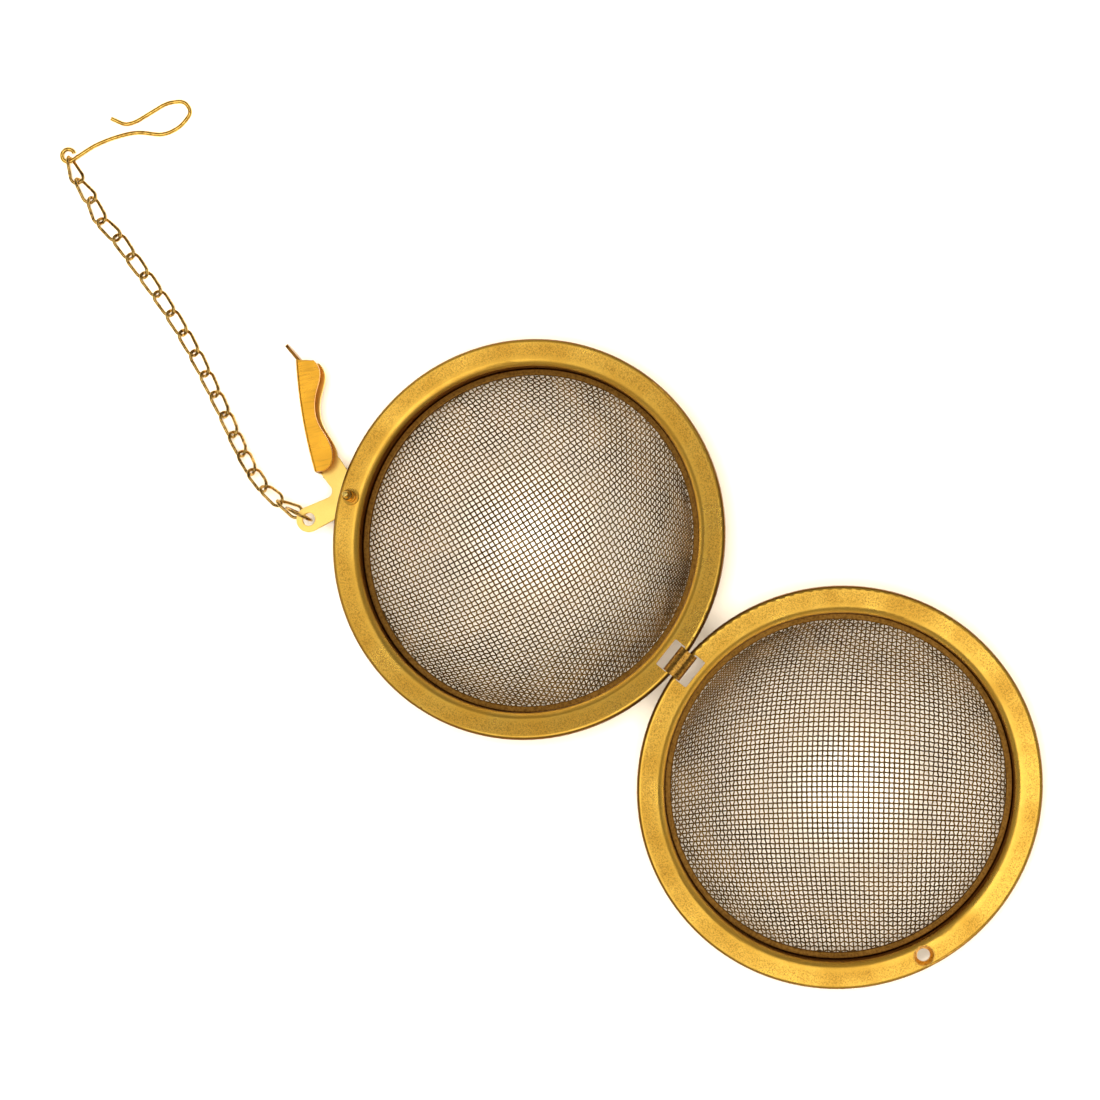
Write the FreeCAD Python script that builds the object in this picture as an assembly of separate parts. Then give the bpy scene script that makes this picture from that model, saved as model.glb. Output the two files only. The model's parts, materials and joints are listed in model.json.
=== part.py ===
"""Mesh-ball tea infuser lying open, with its latch lever, curb chain and cup hook.

Millimetres, +Z up. The two bowls, the chain and the hook rest on the plane Z = 0.
+X runs from the latch half to the lid half, and the hinge line is parallel to Y.
Each half is drawn in a frame of its own: origin in the middle of its rim, flange top at Z = 0.
"""

import FreeCAD, Part
import math
import os

from FreeCAD import Placement, Rotation, Vector

# Rim: a stamped sheet ring with a flat flange, a short outer skirt and a rolled inner collar.
RIM_RADIUS = 32.5
RIM_SHEET = 0.4
SKIRT_DEPTH = 0.85
EDGE_BEND = 0.6
COLLAR_RADIUS = 28.0
ROLL_BEND = 1.2
COLLAR_DEPTH = 3.7
LIP_RADIUS = 27.2

# Woven bowl: a cap of a sphere with a flat edge, clamped under a retaining ring.
MESH_SHEET = 0.4
MESH_EDGE_RADIUS = 27.9
SPHERE_RADIUS = 30.95
SPHERE_RISE = 12.3  # from the flange top up to the middle of the sphere
RING_INNER = 26.9
RING_OUTER = 27.95
RING_HEIGHT = 0.55

# Hinge: one rolled clip round the outer bars of both rims, through a slot in each flange.
RIM_GAP = 0.5  # between the two rims when they lie flat
HINGE_REACH = RIM_RADIUS + RIM_GAP / 2  # from the middle of a rim to the hinge axis
AXIS_LIFT = 0.12  # of the hinge axis above the flange tops
SLOT_NEAR, SLOT_FAR, SLOT_LENGTH = 1.0, 3.15, 5.05
CLIP_INNER, CLIP_OUTER, CLIP_LENGTH, CLIP_SEAM = 1.32, 1.6, 4.6, 0.5
HALF_OPEN = 10.5  # each half falls this many degrees past flat before the skirts meet
CLOSING = 180 + 2 * HALF_OPEN

# Guide pin, and the eyelet that it enters when the ball is shut.
PIN_RADIUS, PIN_ANGLE = 30.3, 205.0
NECK, JOURNAL, SHOULDER = 0.8, 0.8, 1.2
EYELET_BORE, EYELET_WALL, EYELET_FLARE, EYELET_LIP = 1.075, 0.325, 1.6, 1.75
EYELET_TOP, EYELET_DEPTH = 0.1, 1.2

# Latch lever: a sheet channel that grips both rims, an arm to the pin and a tab for the chain.
# Its outline is about the pin, in the open position.
LEVER_SHEET = 0.5
LEVER_TOP, LEVER_BOTTOM = 1.85, -1.7
LEVER_BORE = 0.85
PIVOT_PAD = 1.65
BACK = ((-7.0, -0.5), (-14.4, 5.0), (-21.5, 11.7))
GRIP_EDGE = ((-18.9, 13.5), (-16.6, 12.3), (-15.1, 9.4), (-11.8, 6.05), (-8.1, 4.7), (-5.8, 2.6), (-6.0, 0.4))
ARM = ((-7.4, 0.1), (-6.5, -0.4), (-4.4, -0.9), (-1.6, -1.2), (0.0, 1.65), (-3.8, 2.9), (-6.2, 3.6), (-7.6, 3.0))
TAB_HOLE = (-3.7, -7.3)
TAB_RADIUS, TAB_BORE = 2.1, 1.075
TAB_FILLET = 1.15
THUMB_ANGLE, THUMB_LENGTH, THUMB_LOW, THUMB_HIGH = 170.0, 3.4, -1.0, 1.2
LATCH_TURN = 47.0

# Jump ring and curb chain.
RING_WIRE, RING_RADIUS = 0.25, 2.25
RING_REACH, RING_DROP = 2.0, 0.6
RING_HEADING, RING_EXIT = 192.0, 80.0  # the first link hangs from this far below the ring's level point
RING_PLAY = 0.62
LINK_WIRE = 0.265
LINK_LENGTH, LINK_WIDTH = 2.325, 1.1  # half sizes of the wire's middle line
LINK_TIP, LINK_SIDE = 0.6, 1.45  # where the straight tip and the straight side would end
LINK_TWIST = 45.0
LINK_STEP = 1.95  # from the middle of a link to the joint with the next
LINK_REST = 0.748  # height of a link's middle on the table
# Each link's heading, how far it points down, and how far it is rolled about itself.
# The first eight come down from the tab, and the last ones roll on edge to meet the hook's eye.
CHAIN = (
    (188, 12, 40), (179, 20, 15), (167, 23, 0), (160, 23, 0), (157, 20, 0),
    (155, 16, 0), (156, 10, 0), (156, None, 0), (156, 0, 0), (158, 0, 0),
    (161, 0, 0), (163, 0, 0), (164, 0, 0), (165, 0, 0), (164, -1.2, 0),
    (174, -1.7, 10), (152, -1.8, 22), (164, -1.6, 34), (150, -1.4, 45),
)

# Cup hook: one wire. It curls round its eye, then follows its route, about the middle of the eye.
HOOK_WIRE = 0.35
EYE_RADIUS = 1.05
EYE_START, EYE_END, EYE_CORNERS = 57.0, 342.0, 5
EYE_PLAY, EYE_SINK = 0.4, 0.1  # of the eye's wire inside and below the last link's joint
HOOK_LINE, HOOK_LEAN = 63.0, 2.2  # the hook leans down from its eye to its bow
HOOK_ROUTE = (
    (2.45, 4.15), (4.4, 7.45), (6.7, 10.3), (10.5, 12.5), (11.9, 15.4), (11.8, 18.5),
    (9.7, 19.2), (7.6, 17.2), (5.4, 11.3), (4.3, 9.9), (1.8, 9.3),
)

UP = Vector(0, 0, 1)


def section(r, z):
    return Vector(r, 0, z)


def plan(x, y):
    return Vector(x, y, 0)


def outline(points, lift):
    """A flat face bounded by lines and arcs: a pair of points is an arc through the first to the second."""
    start = here = lift(*points[0])
    edges = []
    for step in points[1:]:
        if isinstance(step[0], tuple):
            middle, end = (lift(*p) for p in step)
            edges.append(Part.Arc(here, middle, end).toShape())
        else:
            end = lift(*step)
            edges.append(Part.LineSegment(here, end).toShape())
        here = end
    if (here - start).Length > 1e-6:
        edges.append(Part.LineSegment(here, start).toShape())
    return Part.Face(Part.Wire(edges))


def turned(points):
    """A solid turned about Z from its section."""
    return outline(points, section).revolve(Vector(), UP, 360)


def slab(face, low, high):
    """A plan face made a plate from one height to another."""
    return face.translated(Vector(0, 0, low)).extrude(Vector(0, 0, high - low))


def corner(centre, radius, degrees):
    """A point on a circle in a section."""
    a = math.radians(degrees)
    return (centre[0] + radius * math.cos(a), centre[1] + radius * math.sin(a))


def bend(centre, radius, start, end):
    """An outline step round a circle from one angle to another."""
    return (corner(centre, radius, (start + end) / 2), corner(centre, radius, end))


def rim_ring():
    t = RIM_SHEET
    edge = (RIM_RADIUS - EDGE_BEND, -EDGE_BEND)
    roll = (COLLAR_RADIUS + ROLL_BEND, -ROLL_BEND)
    foot = (COLLAR_RADIUS, t - COLLAR_DEPTH)
    return turned([
        (RIM_RADIUS, -SKIRT_DEPTH),
        (RIM_RADIUS, -EDGE_BEND),
        bend(edge, EDGE_BEND, 0, 90),
        (roll[0], 0),
        bend(roll, ROLL_BEND, 90, 180),
        (COLLAR_RADIUS, foot[1]),
        (LIP_RADIUS, foot[1]),
        (LIP_RADIUS, foot[1] - t),
        (COLLAR_RADIUS, foot[1] - t),
        bend(foot, t, -90, 0),
        (COLLAR_RADIUS + t, roll[1]),
        bend(roll, ROLL_BEND - t, 180, 90),
        (edge[0], -t),
        bend(edge, EDGE_BEND - t, 90, 0),
        (RIM_RADIUS - t, -SKIRT_DEPTH),
    ])


def hinge_slot(side):
    """The window in a flange that the hinge clip turns in."""
    width = SLOT_FAR - SLOT_NEAR
    middle = -side * (HINGE_REACH - (SLOT_NEAR + SLOT_FAR) / 2)
    box = Part.makeBox(width, SLOT_LENGTH, 1.0, Vector(middle - width / 2, -SLOT_LENGTH / 2, -0.8))
    upright = [e for e in box.Edges if abs(e.tangentAt(e.FirstParameter).z) > 0.9]
    return box.makeFillet(0.25, upright)


def mesh_bowl():
    outer, inner = SPHERE_RADIUS, SPHERE_RADIUS - MESH_SHEET
    low = RIM_SHEET - COLLAR_DEPTH
    high = low + MESH_SHEET
    leave = math.degrees(math.asin((low - SPHERE_RISE) / outer))
    back = math.degrees(math.asin((high - SPHERE_RISE) / inner))
    centre = (0.0, SPHERE_RISE)
    return turned([
        (0.0, SPHERE_RISE - outer),
        bend(centre, outer, -90, leave),
        (MESH_EDGE_RADIUS, low),
        (MESH_EDGE_RADIUS, high),
        corner(centre, inner, back),
        bend(centre, inner, back, -90),
    ])


def retaining_ring():
    low = RIM_SHEET - COLLAR_DEPTH + MESH_SHEET
    high, r = low + RING_HEIGHT, 0.2
    return turned([
        (RING_INNER, low),
        (RING_OUTER, low),
        (RING_OUTER, high - r),
        bend((RING_OUTER - r, high - r), r, 0, 90),
        (RING_INNER + r, high),
        bend((RING_INNER + r, high - r), r, 90, 180),
    ])


def guide_pin():
    """Stepped pin: a rivet through the flange that is also the lever's pivot."""
    plate = -RIM_SHEET
    washer = LEVER_BOTTOM + LEVER_SHEET + 0.08
    rivet = LEVER_BOTTOM - 0.08
    return turned([
        (0, rivet - 0.5),
        (0.8, rivet - 0.5),
        bend((0.8, rivet - 0.05), 0.45, -90, 0),
        (1.25, rivet),
        (JOURNAL, rivet),
        (JOURNAL, washer),
        (SHOULDER, washer),
        (SHOULDER, plate),
        (NECK, plate),
        (NECK, 0),
        (1.4, 0),
        (1.4, 0.22),
        (1.32, 0.3),
        (1.0, 0.3),
        (0.95, 1.1),
        (0.7, 1.2),
        (0.7, 1.4),
        (0.9, 1.5),
        (0.86, 2.3),
        (0.62, 2.45),
        (0.5, 3.35),
        ((0.42, 3.53), (0.25, 3.6)),
        (0, 3.6),
    ])


def guide_eyelet():
    """Flared eyelet, rolled over below the flange."""
    out, t = EYELET_BORE + EYELET_WALL, RIM_SHEET
    return turned([
        (EYELET_BORE, -EYELET_DEPTH),
        (EYELET_BORE, -0.55),
        (EYELET_FLARE, EYELET_TOP),
        (EYELET_LIP, EYELET_TOP),
        (EYELET_LIP, 0),
        (out + t * 0.75, 0),
        (out, -t),
        ((out + 0.1, -t - 0.15), (out, -t - 0.3)),
        (out, -EYELET_DEPTH),
    ])


def eyelet_seat():
    """The dimpled hole in the lid flange that the eyelet fills."""
    out, t = EYELET_BORE + EYELET_WALL, RIM_SHEET
    return turned([(0, -t), (out, -t), (out + t * 0.75, 0), (0, 0)])


def hinge_clip():
    along = Vector(0, 1, 0)
    start = Vector(0, -CLIP_LENGTH / 2, 0)
    tube = Part.makeCylinder(CLIP_OUTER, CLIP_LENGTH, start, along)
    bore = Part.makeCylinder(CLIP_INNER, CLIP_LENGTH, start, along)
    seam = Part.makeBox(CLIP_SEAM, CLIP_LENGTH, 2 * CLIP_OUTER, Vector(-CLIP_SEAM / 2, start.y, -2 * CLIP_OUTER))
    return tube.cut(bore).cut(seam)


def latch_lever():
    """Sheet lever in its open position, about the axis of the guide pin."""
    near, middle, far = (plan(*p) for p in BACK)
    wall = Part.Arc(near, middle, far).toShape()
    back = wall.Curve
    wave = Part.BSplineCurve()
    wave.interpolate([plan(*p) for p in GRIP_EDGE])
    end, start = plan(*GRIP_EDGE[0]), plan(*GRIP_EDGE[-1])
    rim = [wall, Part.LineSegment(far, end).toShape(), wave.toShape(), Part.LineSegment(start, near).toShape()]
    channel = slab(Part.Face(Part.Wire(rim)), LEVER_BOTTOM, LEVER_TOP)
    folds = [e for e in channel.Edges if round_back(e, back)]
    channel = channel.makeFillet(0.4, folds)
    centre = Vector(back.Center.x, back.Center.y, LEVER_BOTTOM + LEVER_SHEET)
    height = LEVER_TOP - LEVER_BOTTOM - 2 * LEVER_SHEET
    channel = channel.cut(Part.makeCylinder(back.Radius - LEVER_SHEET, height, centre))
    low, high = LEVER_BOTTOM, LEVER_BOTTOM + LEVER_SHEET
    arm = slab(outline(ARM, plan), low, high)
    pad = Part.makeCylinder(PIVOT_PAD, LEVER_SHEET, Vector(0, 0, low))
    lever = channel.multiFuse([arm, pad, chain_tab(low, high), thumb_tab(far, back)]).removeSplitter()
    inside = [e for e in lever.Edges if is_upright(e) and (e.CenterOfMass - tab_corner()).Length < 0.9]
    lever = lever.makeFillet(TAB_FILLET, inside[:1]) if inside else lever
    bores = [
        Part.makeCylinder(LEVER_BORE, 2, Vector(0, 0, low - 1)),
        Part.makeCylinder(TAB_BORE, 2, Vector(*TAB_HOLE, low - 1)),
    ]
    return lever.cut(Part.makeCompound(bores))


def round_back(edge, back):
    """Whether an edge is one of the two long folds of the channel."""
    curve = edge.Curve
    return isinstance(curve, Part.Circle) and abs(curve.Radius - back.Radius) < 1e-3


def is_upright(edge):
    return abs(edge.tangentAt(edge.FirstParameter).z) > 0.99


def tab_corner():
    """Where the chain tab and the arm meet, outside the rim."""
    return Vector(-2.95, -1.05, LEVER_BOTTOM + LEVER_SHEET / 2)


def chain_tab(low, high):
    """A strip from the pivot to the rounded end that carries the chain hole."""
    hole = plan(*TAB_HOLE)
    side = hole.cross(UP).normalize()
    points = [side * PIVOT_PAD, hole + side * TAB_RADIUS, hole - side * TAB_RADIUS, side * -PIVOT_PAD]
    strip = slab(outline([(p.x, p.y) for p in points], plan), low, high)
    return strip.fuse(Part.makeCylinder(TAB_RADIUS, high - low, Vector(hole.x, hole.y, low)))


def thumb_tab(far, back):
    """The end of the channel's wall, bent outwards for the thumb."""
    height = THUMB_HIGH - THUMB_LOW
    root = 0.3
    tab = Part.makeBox(THUMB_LENGTH + root, LEVER_SHEET, height, Vector(-root, -LEVER_SHEET, THUMB_LOW))
    tips = [e for e in tab.Edges if abs(e.tangentAt(0).y) > 0.9 and e.CenterOfMass.x > THUMB_LENGTH - 0.1]
    tab = tab.makeFillet(0.8, tips)
    inner = (back.Center - far).normalize() * (LEVER_SHEET * 0.1)
    return tab.transformed(Placement(far + inner, Rotation(UP, THUMB_ANGLE)).toMatrix())


def bent_wire(points, radius, closed=False):
    """Round wire along straight runs that are joined by tangent arcs, as large as the runs allow."""
    count = len(points)
    corners = range(count) if closed else range(1, count - 1)
    share = 0.5 if closed else 0.45
    here = (points[-1] + points[0]) * 0.5 if closed else points[0]
    first = here
    pieces = []
    for i in corners:
        p, before, after = points[i], points[i - 1], points[(i + 1) % count]
        u, v = (before - p), (after - p)
        first_run, last_run = (not closed and i == 1), (not closed and i == count - 2)
        run = share * min(u.Length * (1 + first_run), v.Length * (1 + last_run))
        u.normalize()
        v.normalize()
        turn = math.pi - u.getAngle(v)
        arc = run / math.tan(turn / 2)
        centre = p + (u + v).normalize() * (arc / math.cos(turn / 2))
        start = p + u * run
        if (start - here).Length > 1e-4:
            pieces.append(Part.makeCylinder(radius, (start - here).Length, here, start - here))
        disc = Part.Face(Part.Wire(Part.makeCircle(radius, start, u * -1)))
        pieces.append(disc.revolve(centre, (u * -1).cross(v), math.degrees(turn)))
        here = p + v * run
    last = first if closed else points[-1]
    if (last - here).Length > 1e-4:
        pieces.append(Part.makeCylinder(radius, (last - here).Length, here, last - here))
    return pieces[0].multiFuse(pieces[1:]).Solids[0]


def curb_link():
    """A long link whose ends are twisted a quarter turn apart, so that the chain lies flat."""
    a, b, tip, side = LINK_LENGTH, LINK_WIDTH, LINK_TIP, LINK_SIDE
    flat = [(a, -tip), (a, tip), (side, b), (-side, b), (-a, tip), (-a, -tip), (-side, -b), (side, -b)]
    points = []
    for x, y in flat:
        twist = math.radians(LINK_TWIST * x / a)
        points.append(Vector(x, y * math.cos(twist), y * math.sin(twist)))
    return bent_wire(points, LINK_WIRE, closed=True)


def heading_frame(place, heading, pitch=0.0, roll=0.0):
    """A frame whose +X points along a heading and down by a pitch, rolled about itself."""
    turn = Rotation(UP, heading).multiply(Rotation(Vector(0, 1, 0), pitch)).multiply(Rotation(Vector(1, 0, 0), roll))
    return Placement(place, turn)


def jump_ring(hole):
    """The round ring in the tab, upright along its heading."""
    frame = heading_frame(hole, RING_HEADING)
    ring = Part.makeTorus(RING_RADIUS, RING_WIRE, Vector(RING_REACH, 0, -RING_DROP), Vector(0, 1, 0))
    return ring.transformed(frame.toMatrix())


def chain_frames(hole):
    """The frame of each link, from the ring to the hook, before its roll."""
    exit_angle = math.radians(RING_EXIT)
    reach = RING_RADIUS - RING_PLAY
    way_out = Vector(RING_REACH + reach * math.cos(exit_angle), 0, -RING_DROP - reach * math.sin(exit_angle))
    joint = heading_frame(hole, RING_HEADING).multVec(way_out)
    down = sum(math.sin(math.radians(pitch)) for _, pitch, _ in CHAIN if pitch and pitch > 0)
    landing = math.degrees(math.asin((joint.z - LINK_REST) / (2 * LINK_STEP) - down))
    frames = []
    for heading, pitch, _ in CHAIN:
        pitch = landing if pitch is None else pitch
        step = heading_frame(Vector(), heading, pitch).multVec(Vector(LINK_STEP, 0, 0))
        frames.append(heading_frame(joint + step, heading, pitch))
        joint = joint + step * 2
    return frames


def eye_route():
    """The start of the hook's wire and the corners of its curl."""
    span = math.radians(EYE_END - EYE_START) / EYE_CORNERS
    start = math.radians(EYE_START)
    turns = [(start, EYE_RADIUS)]
    turns += [(start + span * (i + 0.5), EYE_RADIUS / math.cos(span / 2)) for i in range(EYE_CORNERS)]
    return [plan(r * math.cos(a), r * math.sin(a)) for a, r in turns]


def cup_hook(eye):
    """The wire hook, its bow on the table and its eye held up by the last link."""
    wire = bent_wire(eye_route() + [plan(*p) for p in HOOK_ROUTE], HOOK_WIRE)
    lean = heading_frame(Vector(), HOOK_LINE).Rotation.multVec(Vector(0, 1, 0))
    return wire.transformed(Placement(eye, Rotation(lean, HOOK_LEAN)).toMatrix())


def hinge_height():
    """The height that puts the bottom of both bowls on the table."""
    a = math.radians(HALF_OPEN)
    rise = HINGE_REACH * math.sin(a) - (SPHERE_RISE - AXIS_LIFT) * math.cos(a)
    return SPHERE_RADIUS + rise


def half_frame(side):
    """Takes a half from its own frame to where it lies: side -1 is the latch half, 1 the lid."""
    hinge = Vector(-side * HINGE_REACH, 0, AXIS_LIFT)
    fall = Placement(Vector(0, 0, hinge_height()), Rotation(Vector(0, 1, 0), side * HALF_OPEN))
    return fall.multiply(Placement(hinge * -1, Rotation()))


def build():
    """Every node by name, and each joint's place and axis."""
    latch, lid = half_frame(-1), half_frame(1)
    a = math.radians(PIN_ANGLE)
    pin = Vector(PIN_RADIUS * math.cos(a), PIN_RADIUS * math.sin(a), 0)
    eyelet = Vector(-pin.x, pin.y, 0)
    neck = Part.makeCylinder(NECK, 2, pin + Vector(0, 0, -1))
    in_latch = {
        "latch_rim": rim_ring().cut(hinge_slot(-1)).cut(neck),
        "latch_mesh_bowl": mesh_bowl(),
        "latch_retaining_ring": retaining_ring(),
        "guide_pin": guide_pin().translated(pin),
        "latch_lever": latch_lever().translated(pin),
    }
    in_lid = {
        "lid_rim": rim_ring().cut(hinge_slot(1)).cut(eyelet_seat().translated(eyelet)),
        "lid_mesh_bowl": mesh_bowl(),
        "lid_retaining_ring": retaining_ring(),
        "guide_eyelet": guide_eyelet().translated(eyelet),
    }
    nodes = {name: s.transformed(latch.toMatrix()) for name, s in in_latch.items()}
    nodes.update({name: s.transformed(lid.toMatrix()) for name, s in in_lid.items()})
    hinge = Vector(0, 0, hinge_height())
    nodes["hinge_clip"] = hinge_clip().translated(hinge)
    level = LEVER_BOTTOM + LEVER_SHEET / 2
    hole = latch.multVec(pin + Vector(*TAB_HOLE, level))
    nodes["jump_ring"] = jump_ring(hole)
    joints = {
        "lid_hinge": (hinge, Vector(0, -1, 0)),
        "clip_turn": (hinge, Vector(0, -1, 0)),
        "lever_turn": (latch.multVec(pin + Vector(0, 0, level)), latch.Rotation.multVec(UP) * -1),
        "ring_swing": (hole, heading_frame(hole, RING_HEADING).Rotation.multVec(Vector(0, 1, 0))),
    }
    link = curb_link()
    frames = chain_frames(hole)
    for i, frame in enumerate(frames):
        rolled = frame.multiply(heading_frame(Vector(), 0, 0, CHAIN[i][2]))
        nodes[f"chain_link_{i + 1:02d}"] = link.transformed(rolled.toMatrix())
        joints[f"link_{i + 1:02d}"] = link_joint(frame, i)
    last = frames[-1]
    end = last.multVec(Vector(LINK_STEP, 0, 0))
    eye = last.multVec(Vector(LINK_STEP + EYE_RADIUS - EYE_PLAY, 0, -EYE_SINK))
    nodes["cup_hook"] = cup_hook(eye)
    joints["hook_swing"] = (end, UP)
    return nodes, joints


def link_joint(frame, i):
    """A link turns on the one before it, up and down or sideways by turns."""
    axis = Vector(0, 1, 0) if i % 2 == 0 else UP
    sign = 1 if i % 4 < 2 else -1
    return (frame.multVec(Vector(-LINK_STEP, 0, 0)), frame.Rotation.multVec(axis) * sign)


def shifted():
    """Nodes and joints with the origin under the middle of the whole object."""
    nodes, joints = build()
    box = Part.makeCompound(list(nodes.values())).optimalBoundingBox(False, False)
    move = Vector(-box.Center.x, -box.Center.y, -box.ZMin)
    nodes = {name: shape.translated(move) for name, shape in nodes.items()}
    joints = {name: (place + move, axis) for name, (place, axis) in joints.items()}
    return nodes, joints


NODES, JOINTS = shifted()

if __name__ == "__main__":
    os.makedirs("parts", exist_ok=True)
    for name, shape in NODES.items():
        solid = shape.Solids[0]
        print(f"{name:22s} solids {len(shape.Solids)} valid {shape.isValid()} volume {solid.Volume:9.3f}")
        solid.exportStep(f"parts/{name}.step")
    for name, (place, axis) in JOINTS.items():
        print(name, [round(v, 4) for v in place], [round(v, 4) for v in axis])
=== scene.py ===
"""Looks of the mesh-ball tea infuser: woven wire bowls, gold finishes, floor, light and camera."""

import json
import math

import bpy
from mathutils import Euler, Matrix, Vector


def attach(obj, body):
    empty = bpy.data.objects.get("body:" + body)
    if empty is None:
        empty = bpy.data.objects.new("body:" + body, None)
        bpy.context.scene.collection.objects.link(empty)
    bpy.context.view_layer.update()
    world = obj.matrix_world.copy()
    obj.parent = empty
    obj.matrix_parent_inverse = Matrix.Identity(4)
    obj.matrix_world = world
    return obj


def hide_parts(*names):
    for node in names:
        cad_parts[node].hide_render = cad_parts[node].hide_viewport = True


MM = 0.001
MIX_AMOUNT, MIX_FIRST, MIX_SECOND, MIX_RESULT = 0, 6, 7, 2  # sockets of a colour Mix node

# Bowl shape, in the frame of each half: origin in the middle of its rim, flange top at Z = 0.
HINGE_REACH = 32.75 * MM
AXIS_LIFT = 0.12 * MM
SPHERE_RISE = 12.3 * MM
CLOTH_RADIUS = 30.69 * MM
CLOTH_EDGE = 26.6 * MM
CLOTH_END = 27.7 * MM

# Wire cloth: plain weave.
WIRE_PITCH = 0.85 * MM
WIRE_RADIUS = 0.12 * MM
WIRE_REST = 0.24  # of a pitch, each side of a crossing, where a wire lies level
EDGE_FADE = 0.12  # the last share of the bowl, where its dents die out

# Each half's weave direction about its own Z, in degrees, and its dents:
# direction, distance from the bottom, width and depth, in degrees, degrees, degrees and mm.
HALVES = {
    "latch": {
        "body": "latch_half",
        "side": -1,
        "weave": -20.0,
        "dents": ((77, 44, 13, 0.9), (-24, 46, 12, 0.8), (150, 40, 14, 0.5), (215, 46, 12, 0.5)),
    },
    "lid": {
        "body": "lid_half",
        "side": 1,
        "weave": 38.0,
        "dents": ((-54, 45, 12, 1.0), (-134, 44, 14, 0.8), (112, 45, 13, 0.9), (20, 44, 14, 0.5)),
    },
}

CAMERA_PLACE = (0.06181, 0.03193, 0.65747)
CAMERA_TURN = (0.8405, 5.5201, 38.5043)
LENS = 130.909

# Tones of the gold-coloured plating, and browns painted as shade.
GOLD = (0.97, 0.58, 0.09)
AMBER = (0.84, 0.41, 0.035)
PALE_GOLD = (1.0, 0.70, 0.18)
UMBER = (0.42, 0.18, 0.025)
# Painted shade: brown in the collar, within the lever and in the pin's grooves.
PAINTED_SHADE_BROWN = (0.26, 0.11, 0.015)
# Painted shade, deeper: a dark line along the skirt and a groove of the pin.
PAINTED_DEEP_SHADE = (0.16, 0.07, 0.015)

# Radii and heights in mm, in a half's own frame, where the tone of a rim, the lever or the pin changes.
INNER_ROLL = (29.4, 30.0)
OUTER_ROLL = (31.5, 32.0)
# Radii of the painted dark line of shade along the skirt.
SKIRT_LINE = (32.08, 32.28)
# Heights down the collar where the painted shade begins and where it is full.
COLLAR_TOP, COLLAR_DARK = -0.2, -0.8
DISH_START, DISH_END = 28.6, 32.1
LEVER_INSIDE = (-1.15, -0.9)
LEVER_TOP_LEG = (1.2, 1.5)
PIN_TIP = 3.6

# Shading only, on surfaces that are flat: reflections lean as if the sheet did.
FLANGE_DISH = math.radians(5.0)  # lower towards each rim's opening
LEVER_MARKS_TURN = math.radians(-140.0)
LEVER_BEND = math.radians(6.0)  # higher towards the lever's chain end


# ---------------------------------------------------------------- wire cloth


def half_frame(hinge, side, fall):
    """Takes a half's own frame to where it lies."""
    back = Matrix.Translation(Vector((side * HINGE_REACH, 0, -AXIS_LIFT)))
    return Matrix.Translation(hinge) @ Matrix.Rotation(side * fall, 4, "Y") @ back


def dent_depth(dents, direction, tilt):
    """How far the cloth is pushed in at a place on the bowl."""
    depth = 0.0
    for toward, down, width, deep in dents:
        turn = (math.degrees(direction) - toward + 180) % 360 - 180
        across = turn * math.sin(tilt)
        along = math.degrees(tilt) - down
        depth += deep * MM * math.exp(-(across**2 + along**2) / (2 * width**2))
    return depth


def cloth_point(u, v, lift, dents):
    """Where a point of the flat cloth lies on the bowl, or on its flat clamped edge."""
    reach = math.hypot(u, v)
    direction = math.atan2(v, u)
    steepest = math.asin(CLOTH_EDGE / CLOTH_RADIUS)
    tilt = min(reach / CLOTH_RADIUS, steepest)
    radius = CLOTH_RADIUS + lift - dent_depth(dents, direction, tilt) * fade(tilt / steepest)
    flat = max(0.0, reach - steepest * CLOTH_RADIUS)
    out = radius * math.sin(tilt) + flat
    height = SPHERE_RISE - radius * math.cos(tilt)
    return Vector((out * math.cos(direction), out * math.sin(direction), height))


def fade(share):
    """Falls to nothing towards the clamped edge."""
    return max(0.0, min(1.0, (1.0 - share) / EDGE_FADE))


def wire_cloth(name, half, across):
    """All wires of one direction of a bowl's cloth, as one piece."""
    end = math.asin(CLOTH_EDGE / CLOTH_RADIUS) * CLOTH_RADIUS + CLOTH_END - CLOTH_EDGE
    count = int(end / WIRE_PITCH)
    turn = Matrix.Rotation(math.radians(half["weave"]), 2)
    curve = bpy.data.curves.new(name, "CURVE")
    curve.dimensions = "3D"
    for row in range(-count, count + 1):
        v = row * WIRE_PITCH
        crossings = int(math.sqrt(max(0.0, end * end - v * v)) / WIRE_PITCH)
        if crossings < 2:
            continue
        points = []
        for crossing in range(-crossings, crossings + 1):
            over = 1 if (row + crossing + across) % 2 else -1
            for step in (-WIRE_REST, WIRE_REST):
                u = (crossing + step) * WIRE_PITCH
                flat = Vector((-v, u) if across else (u, v))
                points.append((*(turn @ flat), over))
        spline = curve.splines.new("POLY")
        spline.points.add(len(points) - 1)
        for place, (x, y, over) in zip(spline.points, points):
            place.co = (*cloth_point(x, y, over * WIRE_RADIUS, half["dents"]), 1.0)
    curve.bevel_depth = WIRE_RADIUS
    curve.bevel_resolution = 1
    curve.use_fill_caps = True
    tubes = bpy.data.objects.new(name + "_tubes", curve)
    bpy.context.scene.collection.objects.link(tubes)
    bpy.context.view_layer.update()
    mesh = bpy.data.meshes.new_from_object(tubes.evaluated_get(bpy.context.evaluated_depsgraph_get()))
    bpy.data.objects.remove(tubes)
    mesh.transform(half_frame(HINGE, half["side"], FALL))
    mesh.polygons.foreach_set("use_smooth", [True] * len(mesh.polygons))
    piece = bpy.data.objects.new(name, mesh)
    bpy.context.scene.collection.objects.link(piece)
    return piece


# ---------------------------------------------------------------- materials


def new_group(name, inputs, outputs):
    """A shader node group with named sockets, and its input and output nodes."""
    group = bpy.data.node_groups.new(name, "ShaderNodeTree")
    for kind, socket, value in inputs:
        made = group.interface.new_socket(name=socket, in_out="INPUT", socket_type=kind)
        made.default_value = value
    for kind, socket in outputs:
        group.interface.new_socket(name=socket, in_out="OUTPUT", socket_type=kind)
    return group, group.nodes.new("NodeGroupInput"), group.nodes.new("NodeGroupOutput")


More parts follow.
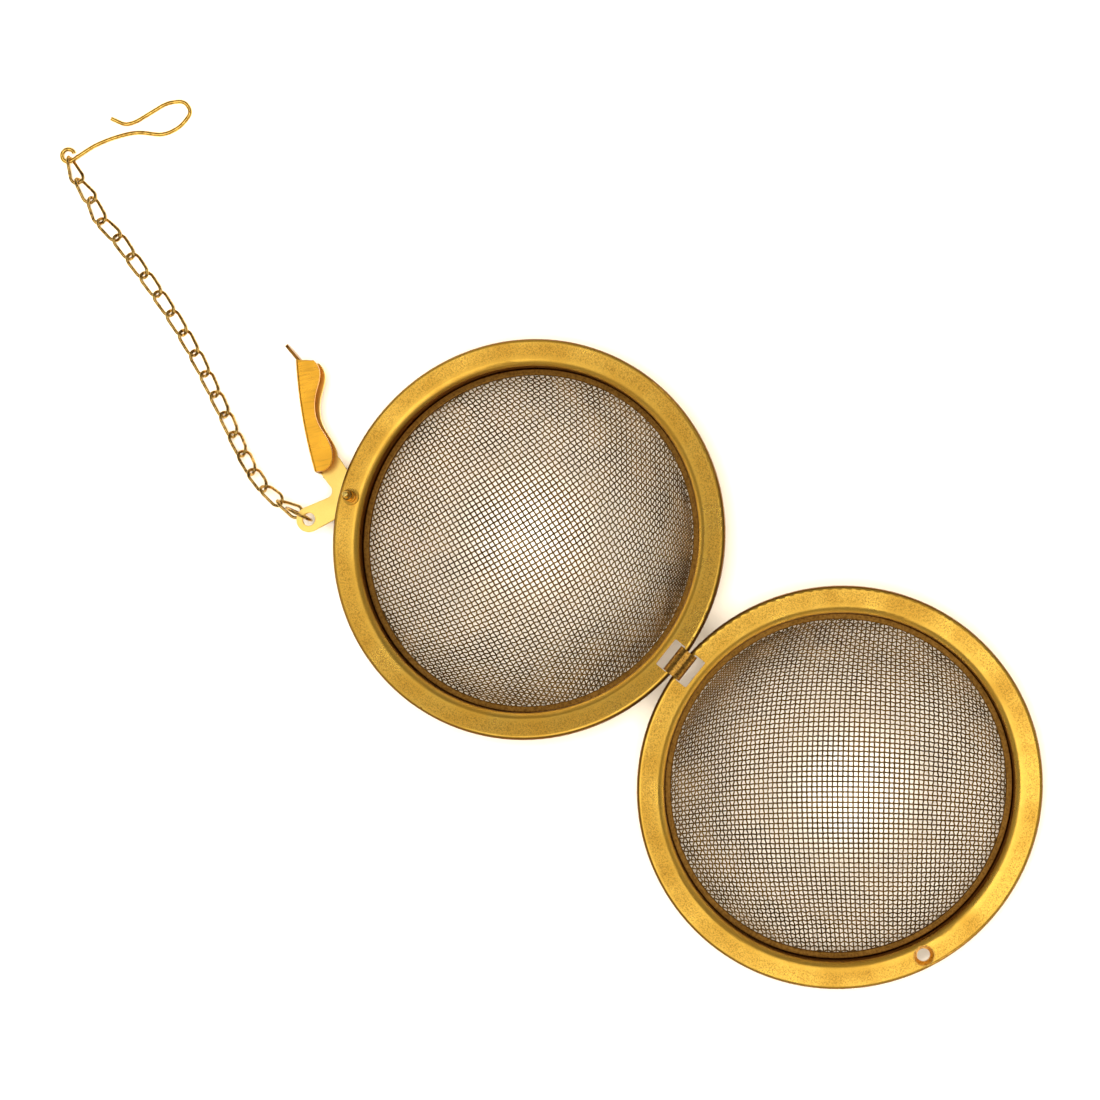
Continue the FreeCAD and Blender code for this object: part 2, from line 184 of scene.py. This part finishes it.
def node(tree, kind, values=None, **settings):
    """A node with its settings and its unlinked socket values."""
    made = tree.nodes.new(kind)
    for key, value in settings.items():
        setattr(made, key, value)
    for key, value in (values or {}).items():
        made.inputs[key].default_value = value
    return made


def ramp(tree, stops, source):
    """A colour ramp with its stops, driven by a value."""
    made = tree.nodes.new("ShaderNodeValToRGB")
    elements = made.color_ramp.elements
    while len(elements) < len(stops):
        elements.new(0.5)
    for element, (place, colour) in zip(elements, stops):
        element.position = place
        element.color = (*colour, 1.0)
    tree.links.new(source, made.inputs["Fac"])
    return made.outputs["Color"]


def mix(tree, amount, first, second):
    """A mix of two colours, each a socket or a plain tone."""
    made = node(tree, "ShaderNodeMix", data_type="RGBA")
    tree.links.new(amount, made.inputs[MIX_AMOUNT])
    for index, tone in ((MIX_FIRST, first), (MIX_SECOND, second)):
        if isinstance(tone, tuple):
            made.inputs[index].default_value = (*tone, 1.0)
        else:
            tree.links.new(tone, made.inputs[index])
    return made.outputs[MIX_RESULT]


def times(tree, first, second):
    """A value times another value or a number."""
    made = node(tree, "ShaderNodeMath", operation="MULTIPLY")
    tree.links.new(first, made.inputs[0])
    if isinstance(second, bpy.types.NodeSocket):
        tree.links.new(second, made.inputs[1])
    else:
        made.inputs[1].default_value = second
    return made.outputs[0]


def span(tree, value, low, high, start=0.0, end=1.0):
    """A value's place between two limits, clamped."""
    made = node(tree, "ShaderNodeMapRange", {1: low, 2: high, 3: start, 4: end})
    tree.links.new(value, made.inputs["Value"])
    return made.outputs["Result"]


def half_place(name, side):
    """Radius, height and place in mm, in a half's own frame."""
    group, given, out = new_group(
        name,
        [],
        [("NodeSocketFloat", "Radius"), ("NodeSocketFloat", "Height"), ("NodeSocketVector", "Place")],
    )
    links = group.links
    place = node(group, "ShaderNodeTexCoord")
    lie = node(group, "ShaderNodeMapping", vector_type="TEXTURE")
    lie.inputs["Location"].default_value = HINGE
    lie.inputs["Rotation"].default_value = (0.0, side * FALL, 0.0)
    shift = node(group, "ShaderNodeVectorMath", operation="SUBTRACT")
    shift.inputs[1].default_value = (side * HINGE_REACH, 0.0, -AXIS_LIFT)
    scale = node(group, "ShaderNodeVectorMath", {"Scale": 1000.0}, operation="SCALE")
    flat = node(group, "ShaderNodeVectorMath", operation="MULTIPLY")
    flat.inputs[1].default_value = (1.0, 1.0, 0.0)
    length = node(group, "ShaderNodeVectorMath", operation="LENGTH")
    parts = node(group, "ShaderNodeSeparateXYZ")
    links.new(place.outputs["Object"], lie.inputs["Vector"])
    links.new(lie.outputs["Vector"], shift.inputs[0])
    links.new(shift.outputs[0], scale.inputs[0])
    links.new(scale.outputs[0], flat.inputs[0])
    links.new(flat.outputs[0], length.inputs[0])
    links.new(scale.outputs[0], parts.inputs[0])
    links.new(length.outputs["Value"], out.inputs["Radius"])
    links.new(parts.outputs["Z"], out.inputs["Height"])
    links.new(scale.outputs[0], out.inputs["Place"])
    return group


def stamped_grain():
    """Fine pebbled grain of stamped plated sheet: sparse spots, a height, and broad patches."""
    group, given, out = new_group(
        "stamped_grain",
        [("NodeSocketFloat", "Size", 4200.0), ("NodeSocketFloat", "Patch", 160.0)],
        [("NodeSocketFloat", "Spots"), ("NodeSocketFloat", "Height"), ("NodeSocketFloat", "Patches")],
    )
    place = node(group, "ShaderNodeTexCoord")
    fine = node(group, "ShaderNodeTexNoise", {"Detail": 3.0, "Roughness": 0.65})
    patch = node(group, "ShaderNodeTexNoise", {"Detail": 2.0, "Roughness": 0.5})
    links = group.links
    for noise, socket in ((fine, "Size"), (patch, "Patch")):
        links.new(place.outputs["Object"], noise.inputs["Vector"])
        links.new(given.outputs[socket], noise.inputs["Scale"])
    links.new(span(group, fine.outputs["Fac"], 0.42, 0.66), out.inputs["Spots"])
    links.new(fine.outputs["Fac"], out.inputs["Height"])
    links.new(span(group, patch.outputs["Fac"], 0.35, 0.65), out.inputs["Patches"])
    return group


def cross_marks():
    """Faint drawing marks across the latch lever, as a value and a height."""
    group, given, out = new_group(
        "cross_marks",
        [("NodeSocketFloat", "Turn", 0.0)],
        [("NodeSocketFloat", "Marks"), ("NodeSocketFloat", "Height")],
    )
    place = node(group, "ShaderNodeTexCoord")
    turn = node(group, "ShaderNodeVectorRotate", rotation_type="Z_AXIS")
    stretch = node(group, "ShaderNodeVectorMath", operation="MULTIPLY")
    stretch.inputs[1].default_value = (2600.0, 190.0, 190.0)
    lines = node(group, "ShaderNodeTexNoise", {"Scale": 1.0, "Detail": 4.0, "Roughness": 0.7})
    links = group.links
    links.new(place.outputs["Object"], turn.inputs["Vector"])
    links.new(given.outputs["Turn"], turn.inputs["Angle"])
    links.new(turn.outputs["Vector"], stretch.inputs[0])
    links.new(stretch.outputs[0], lines.inputs["Vector"])
    links.new(span(group, lines.outputs["Fac"], 0.5, 0.68), out.inputs["Marks"])
    links.new(lines.outputs["Fac"], out.inputs["Height"])
    return group


def gilt(name, roughness, spread=0.1):
    """A gold-toned metal, its grain, and its tree: the caller links the colour."""
    material = bpy.data.materials.new(name)
    material.use_nodes = True
    tree = material.node_tree
    shader = tree.nodes["Principled BSDF"]
    shader.inputs["Metallic"].default_value = 1.0
    grain = node(tree, "ShaderNodeGroup", node_tree=GROUPS["grain"])
    gloss = span(tree, grain.outputs["Patches"], 0.0, 1.0, roughness - spread, roughness + spread)
    tree.links.new(gloss, shader.inputs["Roughness"])
    return material, tree, shader, grain


def relief(tree, shader, height, depth, strength=1.0, under=None):
    """Bumps the surface, over another normal if there is one."""
    made = node(tree, "ShaderNodeBump", {"Strength": strength, "Distance": depth})
    tree.links.new(height, made.inputs["Height"])
    if under:
        tree.links.new(under, made.inputs["Normal"])
    tree.links.new(made.outputs["Normal"], shader.inputs["Normal"])
    return made.outputs["Normal"]


def plain_gilt(name, light, dark, roughness, bump=0.4, size=2600.0, spread=0.05):
    """Wire or turned parts: a light tone, darkened by its grain."""
    material, tree, shader, grain = gilt(name, roughness, spread)
    grain.inputs["Size"].default_value = size
    tree.links.new(mix(tree, grain.outputs["Spots"], light, dark), shader.inputs["Base Color"])
    relief(tree, shader, grain.outputs["Height"], 0.00003, bump)
    return material


def cloth_finish():
    """Cloth wires: gold darkened to brown as painted shade, tarnished in broad clouds."""
    material, tree, shader, grain = gilt("cloth_gilt", 0.36, 0.02)
    # Both cloud tones are gold darkened as painted shade among the wires; the clouds vary at random.
    clouds = mix(tree, grain.outputs["Patches"], (0.13, 0.072, 0.02), (0.34, 0.205, 0.07))
    dulled = times(tree, grain.outputs["Spots"], 0.3)
    tree.links.new(mix(tree, dulled, clouds, (0.10, 0.055, 0.02)), shader.inputs["Base Color"])
    return material


def rim_finish(name, place_group):
    """Stamped flange: grainy in its middle, bright on the roll, with painted shade in brown down the collar and a
    painted dark line of shade at the skirt.
    """
    material, tree, shader, grain = gilt(name, 0.33, 0.07)
    place = node(tree, "ShaderNodeGroup", node_tree=place_group)
    radius, height = place.outputs["Radius"], place.outputs["Height"]
    inside = span(tree, radius, *INNER_ROLL)
    outside = span(tree, radius, *OUTER_ROLL, 1.0, 0.0)
    middle = times(tree, inside, outside)
    spots = times(tree, grain.outputs["Spots"], span(tree, middle, 0.0, 1.0, 0.25, 1.0))
    patches = times(tree, grain.outputs["Patches"], 0.45)
    tone = mix(tree, patches, GOLD, AMBER)
    tone = mix(tree, times(tree, spots, 0.75), tone, UMBER)
    # Painted shade: the rim turns brown down the inside of its collar.
    tone = mix(tree, span(tree, height, COLLAR_TOP, COLLAR_DARK), tone, PAINTED_SHADE_BROWN)
    # Painted shade: a dark brown line along the skirt stands for its dark reflection.
    tone = mix(tree, times(tree, span(tree, radius, *SKIRT_LINE), 0.95), tone, PAINTED_DEEP_SHADE)
    tree.links.new(tone, shader.inputs["Base Color"])
    soft = node(tree, "ShaderNodeBevel", {"Radius": 0.00012}, samples=4)
    dish = node(tree, "ShaderNodeBump", {"Strength": 1.0, "Distance": 1.0})
    rise = span(tree, radius, DISH_START, DISH_END, 0.0, DISH_END - DISH_START)
    slope = times(tree, rise, MM * math.tan(FLANGE_DISH))
    tree.links.new(slope, dish.inputs["Height"])
    tree.links.new(soft.outputs["Normal"], dish.inputs["Normal"])
    relief(tree, shader, grain.outputs["Height"], 0.00004, 0.5, dish.outputs["Normal"])
    return material


def lever_finish():
    """Lever sheet: an amber top leg with marks across it, painted shade in brown within, and a pale arm and tab.
    """
    material, tree, shader, grain = gilt("lever_gilt", 0.3, 0.06)
    place = node(tree, "ShaderNodeGroup", node_tree=GROUPS["latch_place"])
    marks = node(tree, "ShaderNodeGroup", {"Turn": LEVER_MARKS_TURN}, node_tree=GROUPS["marks"])
    height = place.outputs["Height"]
    top = mix(tree, times(tree, marks.outputs["Marks"], 0.45), AMBER, UMBER)
    low = mix(tree, times(tree, grain.outputs["Spots"], 0.25), PALE_GOLD, GOLD)
    # Painted shade: brown within the lever, between its arm and its top leg.
    tone = mix(tree, span(tree, height, *LEVER_INSIDE), low, PAINTED_SHADE_BROWN)
    tone = mix(tree, span(tree, height, *LEVER_TOP_LEG), tone, top)
    tree.links.new(tone, shader.inputs["Base Color"])
    soft = node(tree, "ShaderNodeBevel", {"Radius": 0.00015}, samples=4)
    split = node(tree, "ShaderNodeSeparateXYZ")
    tree.links.new(place.outputs["Place"], split.inputs[0])
    lean = times(tree, split.outputs["X"], -MM * math.tan(LEVER_BEND))
    bent = relief(tree, shader, lean, 1.0, 1.0, soft.outputs["Normal"])
    relief(tree, shader, marks.outputs["Height"], 0.00002, 0.4, bent)
    return material


def pin_finish():
    """Stepped pin: gold steps with painted shade in brown in the grooves and a pale tip."""
    material, tree, shader, grain = gilt("pin_gilt", 0.28, 0.06)
    place = node(tree, "ShaderNodeGroup", node_tree=GROUPS["latch_place"])
    # The brown stops between the gold steps are painted shade in the grooves.
    base = [(0.0, UMBER), (0.08, GOLD), (0.1, PAINTED_SHADE_BROWN), (0.3, AMBER)]
    groove = [(0.32, PAINTED_DEEP_SHADE), (0.4, PAINTED_DEEP_SHADE)]
    tip = [(0.42, GOLD), (0.62, AMBER), (0.66, PAINTED_SHADE_BROWN), (0.7, PALE_GOLD)]
    tone = ramp(tree, base + groove + tip, span(tree, place.outputs["Height"], 0.0, PIN_TIP))
    tree.links.new(tone, shader.inputs["Base Color"])
    relief(tree, shader, grain.outputs["Height"], 0.00003, 0.3)
    return material


def dress(obj, material):
    """Gives a CAD node or a new piece its finish in every slot."""
    if not obj.material_slots:
        obj.data.materials.append(material)
    for slot in obj.material_slots:
        slot.material = material


# ---------------------------------------------------------------- light, floor and camera


def studio(table):
    """A broad softbox, a lamp that lights only the table, and surroundings brighter near the horizon."""
    world = bpy.data.worlds.new("studio")
    world.use_nodes = True
    bpy.context.scene.world = world
    tree = world.node_tree
    place = node(tree, "ShaderNodeTexCoord")
    parts = node(tree, "ShaderNodeSeparateXYZ")
    tree.links.new(place.outputs["Generated"], parts.inputs[0])
    glow = span(tree, parts.outputs["Z"], 0.0, 0.6, 0.55, 0.2)
    tree.links.new(glow, tree.nodes["Background"].inputs["Strength"])
    tree.nodes["Background"].inputs["Color"].default_value = (1.0, 0.97, 0.93, 1.0)
    soft_light("softbox", (0.05, -0.1, 0.78), 0.86, 2.6)
    lamp = soft_light("table_light", (0.055, 0.028, 0.9), 0.3, 16.0)
    only_table = bpy.data.collections.new("lit_by_table_light")
    only_table.objects.link(table)
    lamp.light_linking.receiver_collection = only_table


def soft_light(name, place, size, power):
    lamp = bpy.data.lights.new(name, "AREA")
    lamp.shape = "DISK"
    lamp.size = size
    lamp.energy = power
    obj = bpy.data.objects.new(name, lamp)
    obj.location = place
    obj.rotation_mode = "QUATERNION"
    obj.rotation_quaternion = (-Vector(place)).to_track_quat("-Z", "Y")
    bpy.context.scene.collection.objects.link(obj)
    return obj


def floor():
    """A plain pale table under everything."""
    bpy.ops.mesh.primitive_plane_add(size=6.0, location=(0, 0, 0))
    plane = bpy.context.object
    plane.name = "table"
    material = bpy.data.materials.new("pale_table")
    material.use_nodes = True
    shader = material.node_tree.nodes["Principled BSDF"]
    shader.inputs["Base Color"].default_value = (0.81, 0.71, 0.56, 1.0)
    shader.inputs["Roughness"].default_value = 0.8
    shader.inputs["Specular IOR Level"].default_value = 0.1
    plane.data.materials.append(material)
    return plane


def camera():
    data = bpy.data.cameras.new("camera")
    data.lens = LENS
    data.sensor_width = 36.0
    obj = bpy.data.objects.new("camera", data)
    obj.location = CAMERA_PLACE
    obj.rotation_euler = Euler([math.radians(a) for a in CAMERA_TURN])
    bpy.context.scene.collection.objects.link(obj)
    bpy.context.scene.camera = obj


# ---------------------------------------------------------------- put together

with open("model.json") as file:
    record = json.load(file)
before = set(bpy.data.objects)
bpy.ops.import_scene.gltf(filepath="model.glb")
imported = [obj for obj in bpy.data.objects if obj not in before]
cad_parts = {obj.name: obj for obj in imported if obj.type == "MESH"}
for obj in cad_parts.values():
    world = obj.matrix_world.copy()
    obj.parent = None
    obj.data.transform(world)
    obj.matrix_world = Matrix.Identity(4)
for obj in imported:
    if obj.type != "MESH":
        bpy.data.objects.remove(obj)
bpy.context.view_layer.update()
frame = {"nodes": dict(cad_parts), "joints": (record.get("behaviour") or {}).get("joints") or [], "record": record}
JOINT = {joint["name"]: joint for joint in frame["joints"]}
HINGE = Vector(JOINT["lid_hinge"]["pos_m"])
FALL = math.radians((JOINT["lid_hinge"]["range_deg"][1] - 180) / 2)
GROUPS = {
    "grain": stamped_grain(),
    "marks": cross_marks(),
    "latch_place": half_place("latch_place", -1),
    "lid_place": half_place("lid_place", 1),
}

FINISHES = {
    "latch_rim": rim_finish("latch_rim_gilt", GROUPS["latch_place"]),
    "lid_rim": rim_finish("lid_rim_gilt", GROUPS["lid_place"]),
    # The hem's dark brown is painted shade, where it sits down in the collar.
    "hem": plain_gilt("hem_gilt_painted_shade", (0.30, 0.14, 0.025), (0.15, 0.065, 0.01), 0.42),
    "lever": lever_finish(),
    "guide_pin": pin_finish(),
    "pin": plain_gilt("eyelet_gilt", (0.84, 0.50, 0.10), (0.46, 0.23, 0.04), 0.3, 0.3, 3000.0),
    "clip": plain_gilt("clip_gilt", (0.48, 0.25, 0.045), (0.20, 0.09, 0.015), 0.28),
    "chain_wire": plain_gilt("chain_gilt", (0.66, 0.42, 0.12), (0.17, 0.09, 0.02), 0.2, 0.3, 1400.0),
    "hook_wire": plain_gilt("hook_gilt", (0.96, 0.60, 0.13), (0.50, 0.27, 0.05), 0.2, 0.2, 1200.0),
    "mesh": cloth_finish(),
}
for entry in frame["record"]["subparts"]:
    finish = FINISHES.get(entry["node"]) or FINISHES[entry["material_slot"]]
    dress(frame["nodes"][entry["node"]], finish)

for half_name, half in HALVES.items():
    for across, direction in enumerate(("warp", "weft")):
        cloth = wire_cloth(f"{half_name}_cloth_{direction}", half, across)
        dress(cloth, FINISHES["mesh"])
        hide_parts(f"{half_name}_mesh_bowl")
        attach(cloth, half["body"])

studio(floor())
camera()
scene = bpy.context.scene
scene.view_settings.view_transform = "Standard"
scene.view_settings.look = "None"
